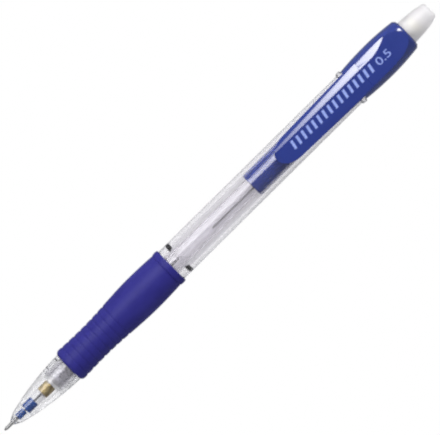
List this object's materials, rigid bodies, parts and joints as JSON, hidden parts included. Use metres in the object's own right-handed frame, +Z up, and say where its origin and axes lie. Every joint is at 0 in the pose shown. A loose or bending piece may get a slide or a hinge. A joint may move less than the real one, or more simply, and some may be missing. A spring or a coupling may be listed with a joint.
{
  "type": "mechanical pencil",
  "caption": "Push-button mechanical pencil with a clear barrel and nose, ribbed rubber grip, split brass chuck with spring, lead magazine, pocket clip, eraser and clear button.",
  "frame": {"origin": "on the resting plane, below the middle of the pencil's overall length", "axes": "+X runs along the pencil from the point of the lead towards the button, +Z is up through the clip, +Y completes a right-handed frame"},
  "size_m": [0.145, 0.0102, 0.0122],
  "materials": {
    "clear_plastic": "clear, polished",
    "clear_tube": "clear, natural",
    "frosted_plastic": "clear, lightly frosted",
    "blue_plastic": "gloss",
    "blue_rubber": "matte",
    "retainer_rubber": "satin",
    "white_plastic": "satin",
    "eraser_vinyl": "matte",
    "brass": "machined",
    "steel": "polished",
    "graphite": "satin"
  },
  "bodies": {
    "barrel": {"barrel": "clear_plastic", "grip": "blue_rubber", "head": "blue_plastic", "chuck_seat": "clear_plastic", "return_spring": "steel"},
    "nose_carrier": {"lead_retainer": "retainer_rubber"},
    "nose": {"nose_cone": "clear_plastic", "lead_pipe": "steel"},
    "push_tube": {"lead_tube": "clear_tube", "tube_connector": "white_plastic", "chuck_stem": "brass"},
    "jaw_1": {"chuck_jaw_1": "brass"},
    "jaw_2": {"chuck_jaw_2": "brass"},
    "jaw_3": {"chuck_jaw_3": "brass"},
    "clutch_ring": {"chuck_ring": "brass"},
    "lead": {"lead": "graphite"},
    "spare_lead": {"spare_lead": "graphite"},
    "eraser": {"eraser": "eraser_vinyl"},
    "button_cap": {"push_cap": "frosted_plastic"},
    "clip": {"clip": "blue_plastic"}
  },
  "joints": [
    {"name": "nose_advance", "type": "slide", "parent": "barrel", "child": "nose_carrier", "axis": [-1, 0, 0], "range_m": [0, 0.0048]},
    {"name": "nose_turn", "type": "hinge", "parent": "nose_carrier", "child": "nose", "pos_m": [-0.07, 0, 0.00515], "axis": [-1, 0, 0], "range_deg": [0, 2881]},
    {"name": "button_press", "type": "slide", "parent": "barrel", "child": "push_tube", "axis": [-1, 0, 0], "range_m": [0, 0.002], "stiffness_N_per_m": 900, "springref_m": -0.003, "deforming": ["return_spring"]},
    {"name": "ring_shift", "type": "slide", "parent": "barrel", "child": "clutch_ring", "axis": [-1, 0, 0], "range_m": [0, 0.00071]},
    {"name": "jaw_1_open", "type": "hinge", "parent": "push_tube", "child": "jaw_1", "pos_m": [-0.051, -0.00043, 0.0054], "axis": [0, 0.5, 0.866], "range_deg": [0, 1.72]},
    {"name": "jaw_2_open", "type": "hinge", "parent": "push_tube", "child": "jaw_2", "pos_m": [-0.051, 0, 0.00465], "axis": [0, -1, 0], "range_deg": [0, 1.72]},
    {"name": "jaw_3_open", "type": "hinge", "parent": "push_tube", "child": "jaw_3", "pos_m": [-0.051, 0.00043, 0.0054], "axis": [0, 0.5, -0.866], "range_deg": [0, 1.72]},
    {"name": "lead_feed", "type": "slide", "parent": "barrel", "child": "lead", "axis": [-1, 0, 0], "range_m": [-0.0005, 0.0446]},
    {"name": "spare_lead_slide", "type": "slide", "parent": "push_tube", "child": "spare_lead", "axis": [-1, 0, 0], "range_m": [0, 0.0335]},
    {"name": "eraser_pull", "type": "slide", "parent": "push_tube", "child": "eraser", "axis": [1, 0, 0], "range_m": [0, 0.0085]},
    {"name": "cap_pull", "type": "slide", "parent": "eraser", "child": "button_cap", "axis": [1, 0, 0], "range_m": [0, 0.0095]},
    {"name": "clip_flex", "type": "hinge", "parent": "barrel", "child": "clip", "pos_m": [0.0491, 0, 0.01145], "axis": [0, 1, 0], "range_deg": [0, 5], "stiffness_Nm_per_rad": 0.8, "springref_deg": -1.15}
  ],
  "couplings": [
    {"joint": "nose_turn", "follows": "nose_advance", "rad_per_m": 10472},
    {"joint": "ring_shift", "follows": "button_press", "ratio": 0.35},
    {"joint": "jaw_1_open", "follows": "button_press", "rad_per_m": 14.835},
    {"joint": "jaw_2_open", "follows": "button_press", "rad_per_m": 14.835},
    {"joint": "jaw_3_open", "follows": "button_press", "rad_per_m": 14.835}
  ]
}
